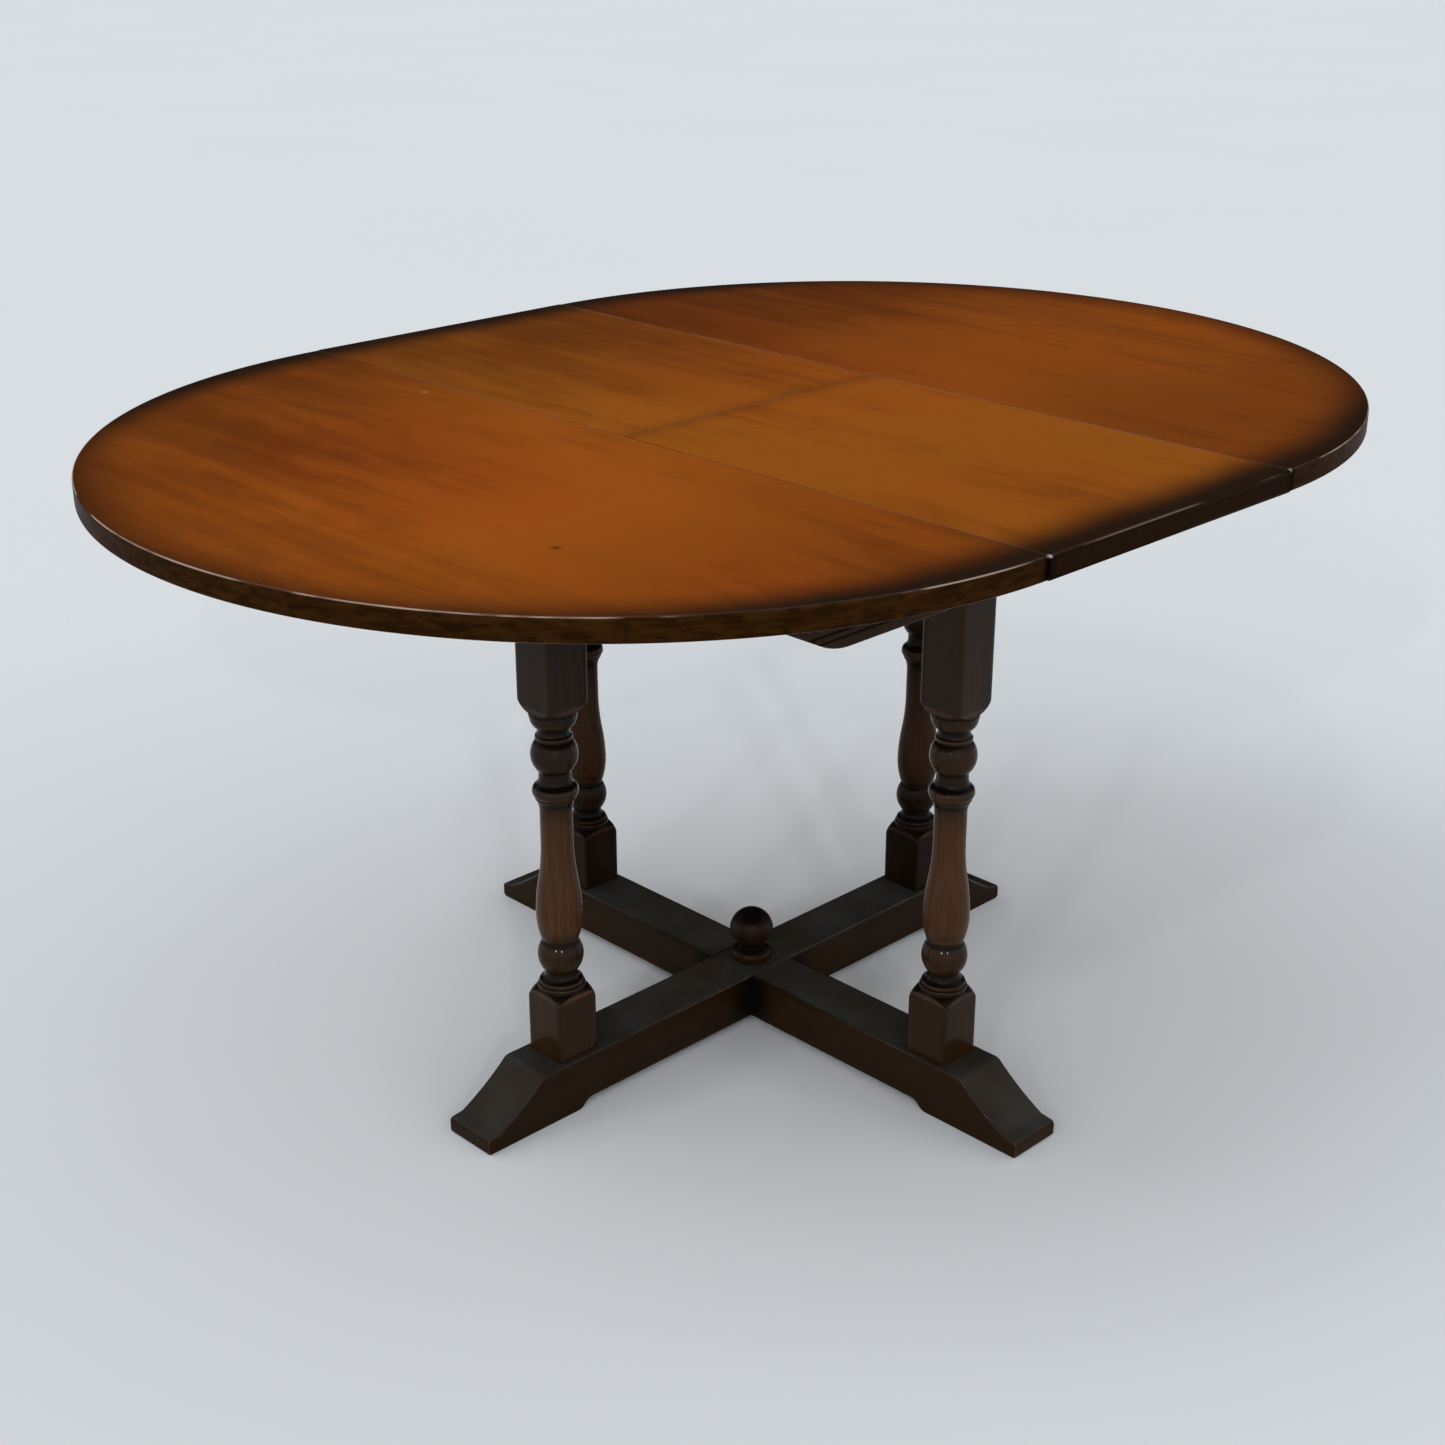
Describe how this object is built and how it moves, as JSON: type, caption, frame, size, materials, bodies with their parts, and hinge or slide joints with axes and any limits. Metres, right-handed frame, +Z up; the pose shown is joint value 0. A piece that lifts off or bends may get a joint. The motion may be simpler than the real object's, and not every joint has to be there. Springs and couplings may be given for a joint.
{
  "type": "extending dining table",
  "caption": "Oval extending dining table: two half-round ends slide apart on runners around a centre leaf that folds in two, on a crossed base with four turned legs.",
  "frame": {"origin": "on the floor under the middle of the table, where the two foot rails cross", "axes": "+Z up; X along the extension, from the left half-round end to the right one; +Y from the front half of the leaf to the back half"},
  "size_m": [1.5052, 1.12, 0.76],
  "materials": {
    "end_wood": "stained reddish-brown wood under semi-gloss lacquer",
    "leaf_wood": "stained golden-brown wood under semi-gloss lacquer",
    "dark_wood": "near-black brown stained wood, glossy lacquer",
    "inner_wood": "plain unstained wood, matt",
    "hinge_brass": "satin brass",
    "screw_steel": "bright zinc-plated steel"
  },
  "bodies": {
    "base": {"foot_rail_long": "dark_wood", "foot_rail_cross": "dark_wood", "finial": "dark_wood", "leg_left": "dark_wood", "leg_right": "dark_wood", "leg_front": "dark_wood", "leg_back": "dark_wood", "bearer_long": "inner_wood", "bearer_cross": "inner_wood", "side_rail_front": "dark_wood", "side_rail_back": "dark_wood", "end_tie_left": "inner_wood", "end_tie_right": "inner_wood", "leg_screws": "screw_steel", "tie_screws": "screw_steel"},
    "end_left": {"top_end_left": "end_wood", "runner_left_front": "inner_wood", "runner_left_back": "inner_wood", "stop_pegs_left": "inner_wood", "runner_screws_left": "screw_steel"},
    "end_right": {"top_end_right": "end_wood", "runner_right_front": "inner_wood", "runner_right_back": "inner_wood", "stop_pegs_right": "inner_wood", "runner_screws_right": "screw_steel"},
    "leaf_front": {"leaf_half_front": "leaf_wood", "leaf_barrels_front": "hinge_brass"},
    "leaf_back": {"leaf_half_back": "leaf_wood", "leaf_barrels_back": "hinge_brass"}
  },
  "joints": [
    {"name": "left_end_slide", "type": "slide", "parent": "base", "child": "end_left", "axis": [-1, 0, 0], "range_m": [0, 0.05]},
    {"name": "right_end_slide", "type": "slide", "parent": "base", "child": "end_right", "axis": [1, 0, 0], "range_m": [0, 0.05]},
    {"name": "leaf_lift", "type": "slide", "parent": "base", "child": "leaf_front", "axis": [0, 0, 1], "range_m": [0, 0.12]},
    {"name": "leaf_fold", "type": "hinge", "parent": "leaf_front", "child": "leaf_back", "pos_m": [0, 0, 0.76015], "axis": [1, 0, 0], "range_deg": [0, 180]}
  ]
}
